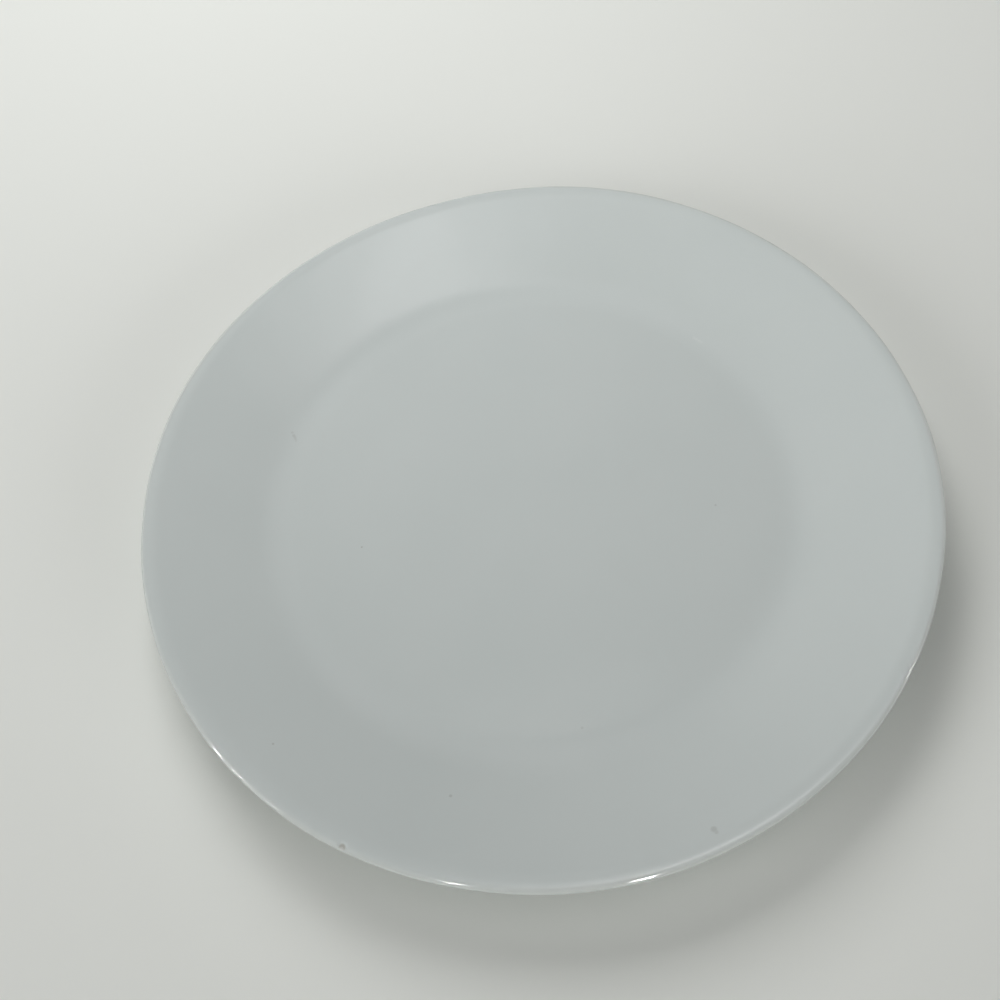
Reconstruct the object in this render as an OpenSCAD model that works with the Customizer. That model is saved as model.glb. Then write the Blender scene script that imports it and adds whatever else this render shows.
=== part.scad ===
// Coupe side plate in white glazed porcelain, one piece: a flat well, a wall that sweeps up
// from it without a separate rim, an edge that eases over into a full-round lip, and a foot
// ring underneath. Lengths are in millimetres. The plate stands on z = 0, round the Z axis.

/* [Plate] */
// Diameter over the lip
plate_d = 190; // [160:1:230]
// Depth from the top of the lip down to the floor of the well
well_depth = 11; // [8:0.5:15]

/* [Well] */
// Thickness of the body under the well
base_t = 4; // [3:0.1:5.5]
// Radius of the bend at the verge, where the well turns up into the wall
verge_r = 24; // [14:1:30]

/* [Wall and lip] */
// Breadth of the wall in plan, from the flat of the well to the outside of the lip
wall_w = 34.5; // [31:0.5:42]
// Radius of the roll by which the face of the wall eases over into the lip
roll_r = 12; // [5:0.5:16]
// Thickness of the full-round lip
lip_t = 2.4; // [1.8:0.1:3.2]

/* [Foot ring] */
// Distance from the edge of the flat of the well in to the outside of the foot ring
foot_inset = 5; // [3:0.5:16]
// Width of the foot ring
foot_w = 3.4; // [2.6:0.1:5]
// Height of the foot ring below the body
foot_h = 2.5; // [1.8:0.1:4]
// Radius of the two edges beside the bare face that the ring stands on
foot_edge_r = 0.8; // [0.3:0.1:1.2]
// Radius of the fillets between the foot ring and the body
foot_fillet_r = 1.5; // [0.5:0.1:2.5]

/* [Hidden] */
$fn = 360;

// How far neighbouring stretches of the section run into each other, along them and in degrees
lap = 0.5;
lap_turn = 5;
// How far one stretch's end lies inside the next, so that no sliver is left where they touch
seat = 0.0002;

plate_r = plate_d / 2;
well_r = plate_r - wall_w;
floor_z = foot_h + base_t;
plate_h = floor_z + well_depth;
foot_out_r = well_r - foot_inset;
foot_in_r = foot_out_r - foot_w;
// A fillet takes no more height than the edge of the foot leaves it
fillet_r = min(foot_fillet_r, foot_h - foot_edge_r);

// Centres of the rounds of the section, as [radius, height]
verge_c = [well_r, floor_z + verge_r];
lip_c = [plate_r - lip_t / 2, plate_h - lip_t / 2];
roll_c = [lip_c.x, plate_h - roll_r];

// Slopes of the wall in degrees: its face runs from the verge to the roll, its back to the lip
face_slope = slope(verge_c, verge_r, roll_c, roll_r);
back_slope = slope(verge_c, verge_r + base_t, lip_c, -lip_t / 2);

// Slope of the straight line that passes so far under p and so far over q
function slope(p, under, q, over) =
    atan2(q.y - p.y, q.x - p.x) + asin((under + over) / norm(q - p));

// Unit vectors along a line of that slope, and square to it, downwards
function along(s) = [cos(s), sin(s)];
function down(s) = [sin(s), -cos(s)];

// A straight-sided basin out to the flat of the well, with a round of radius r about the verge
module basin(r) {
    translate([0, verge_c.y - r]) square([well_r, r]);
    translate(verge_c) circle(r);
}

// Section of the well and its verge, one thickness throughout
module well_section() {
    face_end = verge_c + verge_r * down(face_slope);
    back_end = verge_c + (verge_r + base_t + lap) * down(back_slope + lap_turn);
    intersection() {
        difference() {
            basin(verge_r + base_t);
            basin(verge_r);
        }
        polygon([[0, 0], [back_end.x, 0], back_end, face_end, verge_c, [0, verge_c.y]]);
    }
}

// Section of the wall, straight on its face and back, and thinner towards the lip
module wall_section() {
    face_start = verge_c + (verge_r - seat) * down(face_slope);
    face_end = roll_c - (roll_r + seat) * down(face_slope);
    back_start = verge_c + (verge_r + base_t - seat) * down(back_slope);
    back_end = lip_c + lip_t / 2 * down(back_slope);
    polygon([back_start, back_end, lip_c, face_end, face_start - lap * along(face_slope)]);
}

// Section of the edge: the roll over the end of the wall, and the full round of the lip
module edge_section() {
    start = down(face_slope + lap_turn);
    intersection() {
        translate(roll_c) circle(roll_r + 2 * seat);
        polygon([
            roll_c - (roll_r + lap) * start,
            [lip_c.x, plate_h + lap],
            lip_c,
            roll_c - (roll_r - lip_t) * start
        ]);
    }
    translate(lip_c) circle(lip_t / 2 + 3 * seat);
}

// Section of the foot ring, with rounded edges below
module foot_section() {
    translate([foot_in_r, foot_edge_r]) square([foot_w, foot_h + lap - foot_edge_r]);
    translate([foot_in_r + foot_edge_r, 0]) square([foot_w - 2 * foot_edge_r, foot_edge_r + lap]);
    for (r = [foot_in_r + foot_edge_r, foot_out_r - foot_edge_r])
        translate([r, foot_edge_r]) circle(foot_edge_r);
}

// Section of the fillet in the corner at flank_r: side is -1 inside the ring and 1 outside it
module fillet_section(side, flank_r) {
    translate([flank_r, foot_h])
        mirror([side < 0 ? 1 : 0, 0])
            difference() {
                translate([-lap, -fillet_r]) square([fillet_r + lap, fillet_r + lap]);
                translate([fillet_r, -fillet_r]) circle(fillet_r);
            }
}

// Half of the plate's section, to the right of its axis
module plate_section() {
    well_section();
    wall_section();
    edge_section();
    foot_section();
    fillet_section(-1, foot_in_r);
    fillet_section(1, foot_out_r);
}

// The plate, turned about its axis as it was on the wheel
module plate() {
    color([0.85, 0.88, 0.87])
        rotate_extrude()
            plate_section();
}

plate();
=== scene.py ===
import math

import bpy
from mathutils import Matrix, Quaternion, Vector, noise


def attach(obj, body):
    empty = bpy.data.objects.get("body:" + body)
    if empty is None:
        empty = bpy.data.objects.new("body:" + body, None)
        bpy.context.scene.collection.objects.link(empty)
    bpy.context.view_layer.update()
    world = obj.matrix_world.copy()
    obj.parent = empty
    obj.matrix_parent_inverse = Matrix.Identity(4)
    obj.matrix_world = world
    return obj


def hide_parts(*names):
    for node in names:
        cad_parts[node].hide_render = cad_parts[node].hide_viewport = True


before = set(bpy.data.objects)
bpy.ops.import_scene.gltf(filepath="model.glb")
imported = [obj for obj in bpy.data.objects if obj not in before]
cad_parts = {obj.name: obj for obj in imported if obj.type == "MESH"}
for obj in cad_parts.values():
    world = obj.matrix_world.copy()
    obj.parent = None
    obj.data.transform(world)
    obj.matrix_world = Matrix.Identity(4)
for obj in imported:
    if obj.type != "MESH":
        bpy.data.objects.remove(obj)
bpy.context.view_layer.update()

# The plate is drawn in millimetres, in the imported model's frame, and made in metres
MM = 0.001

# Driving sizes of the plate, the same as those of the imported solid, but for a tighter roll
PLATE_R = 95.0
LIP_T = 2.4
WALL_W = 34.5
WELL_DEPTH = 11.0
BASE_T = 4.0
VERGE_R = 24.0
ROLL_R = 8.0
FOOT_H = 2.5
FOOT_INSET = 5.0
FOOT_W = 3.4
FOOT_EDGE_R = 0.8
FOOT_FILLET_R = 1.5

# Derived sizes and the centres of the rounds of the section, as (radius, height)
WELL_R = PLATE_R - WALL_W
FLOOR_Z = FOOT_H + BASE_T
PLATE_H = FLOOR_Z + WELL_DEPTH
FOOT_OUT_R = WELL_R - FOOT_INSET
FOOT_IN_R = FOOT_OUT_R - FOOT_W
VERGE_C = (WELL_R, FLOOR_Z + VERGE_R)
LIP_C = (PLATE_R - LIP_T / 2, PLATE_H - LIP_T / 2)
ROLL_C = (LIP_C[0], PLATE_H - ROLL_R)


def linear(hex_colour):
    """An sRGB hex colour as the linear colour that the shaders take."""
    parts = [int(hex_colour[i:i + 2], 16) / 255 for i in (1, 3, 5)]
    turned = [c / 12.92 if c <= 0.04045 else ((c + 0.055) / 1.055) ** 2.4 for c in parts]
    return (*turned, 1.0)


def add(tree, kind, feeds=None, **settings):
    """Adds a node with its settings. feeds gives its sockets their values, or what feeds them."""
    made = tree.nodes.new(kind)
    for name, value in settings.items():
        setattr(made, name, value)
    for socket, value in (feeds or {}).items():
        if isinstance(value, bpy.types.NodeSocket):
            tree.links.new(value, made.inputs[socket])
        else:
            made.inputs[socket].default_value = value
    return made


def new_material(name):
    """An empty node material, and its tree."""
    material = bpy.data.materials.new(name)
    material.use_nodes = True
    material.node_tree.nodes.clear()
    return material, material.node_tree


def mixed(tree, share, first, second):
    """A socket with the first colour where share is 0, and the second where it is 1."""
    return add(tree, "ShaderNodeMix", {"Factor": share, "A": first, "B": second},
               data_type="RGBA").outputs["Result"]


def eased(tree, value, start, end, at_start=0.0, at_end=1.0):
    """A socket that eases from at_start to at_end while the value goes from start to end."""
    return add(tree, "ShaderNodeMapRange", {
        "Value": value, "From Min": start, "From Max": end,
        "To Min": at_start, "To Max": at_end},
        interpolation_type="SMOOTHSTEP").outputs["Result"]


def spot(tree, place, middle, core, rim, most=1.0):
    """A socket that is most within the core about the middle, and 0 beyond the rim, in mm."""
    off = add(tree, "ShaderNodeVectorMath", {0: place, 1: middle * MM}, operation="DISTANCE")
    return eased(tree, off.outputs["Value"], core * MM, rim * MM, most, 0.0)


# The camera stands where the photograph was taken from, a little turned about its own axis
CAMERA_AT = Vector((10.33, -122.63, 222.74)) * MM
CAMERA_AIM = Vector((-8.67, 2.25, 0.0)) * MM
CAMERA_ROLL = -9.92  # degrees
SENSOR_MM = 36.0
LENS_MM = 36.07


def place_camera():
    """The camera looks down on the plate from about 59 degrees above the table."""
    data = bpy.data.cameras.new("camera")
    data.sensor_width = SENSOR_MM
    data.lens = LENS_MM
    data.clip_start = 0.01
    camera = bpy.data.objects.new("camera", data)
    bpy.context.scene.collection.objects.link(camera)
    turn = (CAMERA_AIM - CAMERA_AT).to_track_quat("-Z", "Y")
    camera.rotation_mode = "QUATERNION"
    camera.rotation_quaternion = turn @ Quaternion((0, 0, 1), math.radians(CAMERA_ROLL))
    camera.location = CAMERA_AT
    bpy.context.scene.camera = camera


place_camera()


def slope(p, under, q, over):
    """Slope in degrees of the straight line that passes so far under p and so far over q."""
    dx, dz = q[0] - p[0], q[1] - p[1]
    return math.degrees(math.atan2(dz, dx) + math.asin((under + over) / math.hypot(dx, dz)))


def round_points(centre, radius, start, end, steps):
    """Points on a round of the section, from one angle to the other, both in degrees."""
    made = []
    for i in range(steps + 1):
        a = math.radians(start + (end - start) * i / steps)
        made.append((centre[0] + radius * math.cos(a), centre[1] + radius * math.sin(a)))
    return made


def straight_points(p, q, steps):
    """Points between p and q, without the two ends."""
    return [(p[0] + (q[0] - p[0]) * i / steps, p[1] + (q[1] - p[1]) * i / steps)
            for i in range(1, steps)]


def join(stretches):
    """One list of points from the stretches, with straights of so many steps between them."""
    points = list(stretches[0])
    for steps, stretch in stretches[1:]:
        points += straight_points(points[-1], stretch[0], steps) + list(stretch)
    return points


FOOT_STEPS = 8  # steps of each small round at the foot


def plate_section():
    """The section from the middle of the well, over the lip and under to the middle again.

    Gives the points, and the index of the first and the last point of the bare foot face.
    """
    face = slope(VERGE_C, VERGE_R, ROLL_C, ROLL_R)
    back = slope(VERGE_C, VERGE_R + BASE_T, LIP_C, -LIP_T / 2)
    out_c = (FOOT_OUT_R - FOOT_EDGE_R, FOOT_EDGE_R)
    in_c = (FOOT_IN_R + FOOT_EDGE_R, FOOT_EDGE_R)
    above = [
        [(0.0, FLOOR_Z)],
        (22, round_points(VERGE_C, VERGE_R, -90, -90 + face, 14)),
        (18, round_points(ROLL_C, ROLL_R, 90 + face, 90, 10)),
    ]
    lip = round_points(LIP_C, LIP_T / 2, 90, -90 + back, 22)[1:]
    below = [
        lip,
        (18, round_points(VERGE_C, VERGE_R + BASE_T, -90 + back, -90, 12)),
        (3, round_points((FOOT_OUT_R + FOOT_FILLET_R, FOOT_H - FOOT_FILLET_R),
                         FOOT_FILLET_R, 90, 180, FOOT_STEPS)),
        (2, round_points(out_c, FOOT_EDGE_R, 0, -90, FOOT_STEPS)),
    ]
    inside = [
        round_points(in_c, FOOT_EDGE_R, -90, -180, FOOT_STEPS),
        (2, round_points((FOOT_IN_R - FOOT_FILLET_R, FOOT_H - FOOT_FILLET_R),
                         FOOT_FILLET_R, 0, 90, FOOT_STEPS)),
        (14, [(0.0, FOOT_H)]),
    ]
    points = join(above) + join(below)
    bare_from = len(points) - 1
    points += straight_points(points[-1], inside[0][0], 3)
    bare_to = len(points)
    points += join(inside)
    return points, bare_from, bare_to


TURNS = 400  # columns round the axis

# How the firing left the edge: cycles round the plate, mm outwards, and where it is most, degrees
OUT_OF_ROUND = ((2, 0.07, -9), (3, 0.19, 41), (4, 0.10, -18),
                (5, 0.14, 6), (9, 0.05, 40), (23, 0.025, 5))
# The same for the height of the lip
WARP = ((2, 0.12, 35), (3, 0.07, 80), (7, 0.03, 20), (19, 0.015, 0))
# What is taken off at the lip, in mm, so that the uneven edge stays in the true plate's box
INWARD = 0.28
DOWNWARD = 0.22

RIPPLE_MM = 14.0  # length of the faint ripple that the glaze froze with
RIPPLE_H = 0.012  # its height in mm

# A small shallow chip in the top of the lip
CHIP_ANGLE = 245.5  # degrees round the plate
CHIP_AT = (94.0, 17.45)  # radius and height of its middle
CHIP_LONG = 1.2  # half its length along the lip, mm
CHIP_BROAD = 0.75  # half its breadth over the lip
CHIP_DEEP = 0.3
CHIP_RAGGED = 0.35  # how far its outline departs from an ellipse, as a share
CHIP_GRAIN = 0.5  # length of the bites in that outline, mm
CHIP_COLUMNS = 16  # extra columns of the mesh, so that the chip has a crisp edge
CHIP_MARGIN = 1.3  # how far they reach along the lip, in half lengths of the chip


def swing(waves, angle):
    """Sum of the waves round the plate at this angle."""
    return sum(h * math.cos(n * (angle - math.radians(at))) for n, h, at in waves)


def fired(r, z, angle):
    """Where a point of the true section went in the firing, in mm."""
    reach = max(0.0, (r - WELL_R) / (PLATE_R - WELL_R)) ** 2
    out = r + reach * (swing(OUT_OF_ROUND, angle) - INWARD)
    up = z + reach * (swing(WARP, angle) - DOWNWARD)
    return Vector((out * math.cos(angle), out * math.sin(angle), up))


def glaze_ripple(p, r):
    """Height in mm of the ripple in the glaze at p, none at the foot and inside its ring."""
    at_foot = r <= FOOT_OUT_R + 3 and p.z <= FOOT_H + 1
    return 0.0 if at_foot else RIPPLE_H * noise.noise(p / RIPPLE_MM)


def chipped(p, r, z, angle):
    """The point p, pushed towards the middle of the lip where the chip is."""
    along = PLATE_R * (angle - math.radians(CHIP_ANGLE)) / CHIP_LONG
    over = math.hypot(r - CHIP_AT[0], z - CHIP_AT[1]) / CHIP_BROAD
    ragged = 1.0 + CHIP_RAGGED * noise.noise(p / CHIP_GRAIN)
    share = 1.0 - (along ** 2 + over ** 2) * ragged
    if share <= 0:
        return p
    inwards = Vector((LIP_C[0] * math.cos(angle), LIP_C[0] * math.sin(angle), LIP_C[1])) - p
    return p + inwards.normalized() * CHIP_DEEP * share ** 0.7


def column_angles():
    """The angles of the mesh's columns in radians, closer together at the chip."""
    angles = [2 * math.pi * k / TURNS for k in range(TURNS)]
    reach = CHIP_MARGIN * CHIP_LONG / PLATE_R
    for k in range(CHIP_COLUMNS):
        angles.append(math.radians(CHIP_ANGLE) + reach * (2 * k / (CHIP_COLUMNS - 1) - 1))
    return sorted(angles)


def turn_plate():
    """The mesh of the plate, turned from its section, its foot face in the second material."""
    section, bare_from, bare_to = plate_section()
    rings = section[1:-1]
    angles = column_angles()
    columns = len(angles)
    verts = [Vector((0, 0, FLOOR_Z))]
    for r, z in rings:
        for angle in angles:
            p = fired(r, z, angle)
            p.z += glaze_ripple(p, r)
            verts.append(chipped(p, r, z, angle))
    verts.append(Vector((0, 0, FOOT_H)))
    last = len(verts) - 1

    faces = []
    bare = []
    for k in range(columns):
        faces.append((0, 1 + k, 1 + (k + 1) % columns))
        bare.append(0)
    for i in range(len(rings) - 1):
        a, b = 1 + i * columns, 1 + (i + 1) * columns
        is_bare = 1 if bare_from - 1 <= i < bare_to - 1 else 0
        for k in range(columns):
            n = (k + 1) % columns
            faces.append((a + k, b + k, b + n, a + n))
            bare.append(is_bare)
    a = 1 + (len(rings) - 1) * columns
    for k in range(columns):
        faces.append((a + k, last, a + (k + 1) % columns))
        bare.append(0)

    mesh = bpy.data.meshes.new("plate_porcelain")
    mesh.from_pydata([v * MM for v in verts], [], faces)
    mesh.polygons.foreach_set("use_smooth", [True] * len(faces))
    mesh.polygons.foreach_set("material_index", bare)
    mesh.update()
    return mesh


# Flecks under the glaze, as x and y on the plate's face, size across and how plain they are:
# one larger iron speck, one short dark dash, a few pinholes and a faint pale streak
DARK_FLECKS = (
    (34.9, -83.0, 1.5, 0.26), (35.3, -83.6, 1.1, 0.2),
    (-62.8, 21.1, 0.8, 0.15), (-62.3, 20.2, 1.0, 0.2), (-62.0, 19.7, 0.9, 0.18),
    (-61.8, 19.2, 0.8, 0.15), (-61.6, 18.7, 0.7, 0.1),
    (-18.1, -74.4, 0.8, 0.28), (9.9, -59.3, 0.7, 0.15),
    (-42.1, -13.0, 0.5, 0.45), (-56.3, -63.5, 0.6, 0.32), (44.3, -5.3, 0.6, 0.25),
)
PALE_FLECKS = (
    (43.9, 45.6, 1.0, 0.25), (44.5, 45.1, 1.0, 0.28),
    (45.1, 44.6, 1.0, 0.28), (45.7, 44.1, 1.0, 0.2),
)
# Shares of its size across within which a fleck is plainest, and beyond which it is gone
FLECK_CORE = 0.25
FLECK_RIM = 0.6


def face_height(r):
    """Height of the plate's face at this radius, in mm."""
    section = plate_section()[0]
    for (r0, z0), (r1, z1) in zip(section, section[1:]):
        if r0 <= r <= r1:
            return z0 + (z1 - z0) * (r - r0) / (r1 - r0)
    return PLATE_H


def shares_of(tree, place, flecks):
    """A socket that is the plainness of the flecks at place, and 0 beside them."""
    whole = None
    for x, y, across, plain in flecks:
        middle = Vector((x, y, face_height(math.hypot(x, y))))
        share = spot(tree, place, middle, FLECK_CORE * across, FLECK_RIM * across, plain)
        if whole is not None:
            share = add(tree, "ShaderNodeMath", {0: whole, 1: share},
                        operation="MAXIMUM").outputs["Value"]
        whole = share
    return whole


def glazed_porcelain():
    """Hard porcelain, wheel-formed, dipped in a clear feldspar glaze and fired glossy.

    To the eye: a cool white that is nearly even, slightly milkier where the glaze pooled at the
    verge, and slightly warmer where it ran thin over the lip. The reflections are clear but
    soft, because the glaze froze with a faint ripple.
    """
    material, tree = new_material("glazed_porcelain")
    place = add(tree, "ShaderNodeTexCoord").outputs["Object"]
    level = add(tree, "ShaderNodeVectorMath", {0: place, 1: (1, 1, 0)}, operation="MULTIPLY")
    off_axis = add(tree, "ShaderNodeVectorMath", {0: level.outputs["Vector"]}, operation="LENGTH")

    # The glaze melts a little unevenly, in clouds some 35 mm across
    cloud = add(tree, "ShaderNodeTexNoise", {
        "Vector": place, "Scale": 1 / (35 * MM), "Detail": 2.0})
    tone = mixed(tree, cloud.outputs["Fac"], linear("#C2C9C7"), linear("#C8CECC"))

    # It pools in the bend at the verge, over 7 mm to each side, and is milkier there
    from_bend = add(tree, "ShaderNodeMath", {
        0: off_axis.outputs["Value"], 1: (WELL_R + 3) * MM}, operation="SUBTRACT")
    beside = add(tree, "ShaderNodeMath", {0: from_bend.outputs["Value"]}, operation="ABSOLUTE")
    pooled = eased(tree, beside.outputs["Value"], 0.0, 7 * MM, 0.15, 0.0)
    tone = mixed(tree, pooled, tone, linear("#CDD4D3"))

    # It runs thin over the last 2 mm of the lip
    thin = eased(tree, off_axis.outputs["Value"], (PLATE_R - 2.0) * MM, (PLATE_R - 0.4) * MM,
                 0.0, 0.5)
    tone = mixed(tree, thin, tone, linear("#C4C7C2"))

    for flecks, colour in ((DARK_FLECKS, "#7E7C75"), (PALE_FLECKS, "#D6DAD8")):
        tone = mixed(tree, shares_of(tree, place, flecks), tone, linear(colour))

    # The chip is painted darker towards the well, as painted shade in its inner wall, and shows
    # the dull body under the glaze further out
    chip_turn = math.radians(CHIP_ANGLE)
    # Each spot: how far out from the chip's middle, its reach and colour; the first is painted
    # shade, the second the bared body
    for out, reach, colour in ((-0.05, 0.75, "#AAAAA3"), (0.4, 0.65, "#C0C3BE")):
        at = Vector((math.cos(chip_turn), math.sin(chip_turn), 0)) * (CHIP_AT[0] + out)
        at.z = CHIP_AT[1] - DOWNWARD
        chip_shade_and_body = spot(tree, place, at, 0.6 * reach, 1.2 * reach)
        tone = mixed(tree, chip_shade_and_body, tone, linear(colour))

    # Gloss is a little uneven over 20 mm, and gone where the chip bared the body
    patch = add(tree, "ShaderNodeTexNoise", {
        "Vector": place, "Scale": 1 / (20 * MM), "Detail": 3.0})
    sheen = add(tree, "ShaderNodeMapRange", {
        "Value": patch.outputs["Fac"], "From Min": 0.3, "From Max": 0.7,
        "To Min": 0.06, "To Max": 0.09})
    rough = add(tree, "ShaderNodeMix", {
        "Factor": chip_shade_and_body, "A": sheen.outputs["Result"], "B": 0.6},
        data_type="FLOAT").outputs["Result"]

    # The skin of the glaze waves over 5 mm, a few thousandths of a millimetre high
    wave = add(tree, "ShaderNodeTexNoise", {
        "Vector": place, "Scale": 1 / (5 * MM), "Detail": 1.0})
    skin = add(tree, "ShaderNodeBump", {
        "Height": wave.outputs["Fac"], "Strength": 1.0, "Distance": 0.006 * MM})
    gloss = add(tree, "ShaderNodeBsdfPrincipled", {
        "Base Color": tone, "Roughness": rough, "IOR": 1.52,
        "Normal": skin.outputs["Normal"]})
    add(tree, "ShaderNodeOutputMaterial", {"Surface": gloss.outputs["BSDF"]})
    return material


def bare_porcelain():
    """The same body where the glaze was wiped off, so that the plate doesn't stick in the kiln.

    To the eye: a dull, slightly warm and finely gritty band.
    """
    material, tree = new_material("bare_porcelain")
    place = add(tree, "ShaderNodeNewGeometry")
    grit = add(tree, "ShaderNodeTexNoise", {
        "Vector": place.outputs["Position"], "Scale": 1 / (0.6 * MM), "Detail": 3.0})
    tone = mixed(tree, grit.outputs["Fac"], linear("#C7C2B7"), linear("#D8D4CA"))
    relief = add(tree, "ShaderNodeBump", {
        "Height": grit.outputs["Fac"], "Strength": 0.4, "Distance": 0.05 * MM})
    matt = add(tree, "ShaderNodeBsdfPrincipled", {
        "Base Color": tone, "Roughness": 0.8, "IOR": 1.5, "Normal": relief.outputs["Normal"]})
    add(tree, "ShaderNodeOutputMaterial", {"Surface": matt.outputs["BSDF"]})
    return material


plate = bpy.data.objects.new("side_plate", turn_plate())
bpy.context.scene.collection.objects.link(plate)
plate.data.materials.append(glazed_porcelain())
plate.data.materials.append(bare_porcelain())
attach(plate, "root")
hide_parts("plate")


PALE = "#EDEEEC"  # the background, as the camera and the reflections see it
TABLE_HALF = 3.0  # half the breadth of the table top, metres
FADE_FROM, FADE_TO = 0.55, 1.2  # how far off it passes into the background, metres


def seen_or_mirrored(tree):
    """A socket that is 1 for what the camera, a reflection or glass shows, and 0 for light."""
    ray = add(tree, "ShaderNodeLightPath")
    mirrored = add(tree, "ShaderNodeMath", {
        0: ray.outputs["Is Glossy Ray"], 1: ray.outputs["Is Transmission Ray"]},
        operation="MAXIMUM")
    return add(tree, "ShaderNodeMath", {
        0: ray.outputs["Is Camera Ray"], 1: mirrored.outputs["Value"]},
        operation="MAXIMUM").outputs["Value"]


def table_top():
    """A plain pale matt surface, which passes into the pale background some way off."""
    material, tree = new_material("pale_table")
    matt = add(tree, "ShaderNodeBsdfPrincipled", {
        "Base Color": linear("#E6E8E3"), "Roughness": 0.9})
    pale = add(tree, "ShaderNodeEmission", {"Color": linear(PALE), "Strength": 1.0})
    place = add(tree, "ShaderNodeTexCoord").outputs["Object"]
    away = add(tree, "ShaderNodeVectorMath", {0: place}, operation="LENGTH")
    far = eased(tree, away.outputs["Value"], FADE_FROM, FADE_TO)
    share = add(tree, "ShaderNodeMath", {0: far, 1: seen_or_mirrored(tree)}, operation="MULTIPLY")
    both = add(tree, "ShaderNodeMixShader", {
        0: share.outputs["Value"], 1: matt.outputs["BSDF"], 2: pale.outputs["Emission"]})
    add(tree, "ShaderNodeOutputMaterial", {"Surface": both.outputs["Shader"]})

    half = TABLE_HALF
    mesh = bpy.data.meshes.new("table_top")
    mesh.from_pydata([(-half, -half, 0), (half, -half, 0), (half, half, 0), (-half, half, 0)],
                     [], [(0, 1, 2, 3)])
    mesh.materials.append(material)
    top = bpy.data.objects.new("table_top", mesh)
    bpy.context.scene.collection.objects.link(top)


LAMP_WATTS = 4  # for each square metre of a lamp of brightness 1


def panel(name, azimuth, elevation, distance, size, brightness, mirrored=True):
    """A square soft light that faces the plate, with its place as angles and metres.

    One that is not mirrored lights the scene, and leaves no patch of its own on the glaze.
    """
    data = bpy.data.lights.new(name, "AREA")
    data.shape = "SQUARE"
    data.size = size
    data.energy = LAMP_WATTS * size * size * brightness
    lamp = bpy.data.objects.new(name, data)
    a, e = math.radians(azimuth), math.radians(elevation)
    towards = Vector((math.cos(a) * math.cos(e), math.sin(a) * math.cos(e), math.sin(e)))
    lamp.location = towards * distance
    lamp.rotation_mode = "QUATERNION"
    lamp.rotation_quaternion = towards.to_track_quat("Z", "Y")
    lamp.visible_glossy = mirrored
    bpy.context.scene.collection.objects.link(lamp)
    return lamp


def room_light():
    """Even light from the room. The camera and the reflections see a pale background instead."""
    world = bpy.data.worlds.new("room")
    world.use_nodes = True
    tree = world.node_tree
    tree.nodes.clear()
    even = add(tree, "ShaderNodeBackground", {"Color": linear("#FFFFFF"), "Strength": 0.04})
    pale = add(tree, "ShaderNodeBackground", {"Color": linear(PALE), "Strength": 1.0})
    both = add(tree, "ShaderNodeMixShader", {
        0: seen_or_mirrored(tree), 1: even.outputs["Background"], 2: pale.outputs["Background"]})
    add(tree, "ShaderNodeOutputWorld", {"Surface": both.outputs["Shader"]})
    bpy.context.scene.world = world


table_top()
room_light()
panel("left_panel", 212, 20, 2.0, 1.3, 3.1, mirrored=False)
panel("right_panel", 318, 11, 2.0, 1.1, 3.8, mirrored=False)
panel("far_lamp", 109, 49, 0.65, 0.36, 4.4, mirrored=False)

# A soft bright patch overhead that the far wall mirrors, from lamps set behind one another,
# the smallest nearest: the size and brightness of each
TOP_PANELS = ((0.45, 0.6), (0.70, 0.45), (0.95, 0.35), (1.25, 0.25))
TOP_AWAY = 1.88  # distance of the nearest, metres
TOP_STEP = 0.02  # distance from each to the next
for behind, (size, brightness) in enumerate(TOP_PANELS):
    panel(f"top_panel_{behind + 1}", 2, 80, TOP_AWAY + TOP_STEP * behind, size, brightness)

# Small lamps that light nothing and show in reflections alone, as glints on the lip: azimuth,
# elevation, size and brightness of each
GLINT_LAMPS = (
    (200, 12, 0.06, 400), (207, 14, 0.075, 290), (214.5, 16, 0.035, 470),
    (250, 31, 0.08, 130), (287, 18, 0.12, 240), (350.5, 6.5, 0.055, 290),
)
GLINT_AWAY = 1.6  # metres
for number, (azimuth, elevation, size, brightness) in enumerate(GLINT_LAMPS, start=1):
    glint = panel(f"glint_lamp_{number}", azimuth, elevation, GLINT_AWAY, size, brightness)
    glint.visible_diffuse = False

bpy.context.scene.view_settings.view_transform = "Standard"
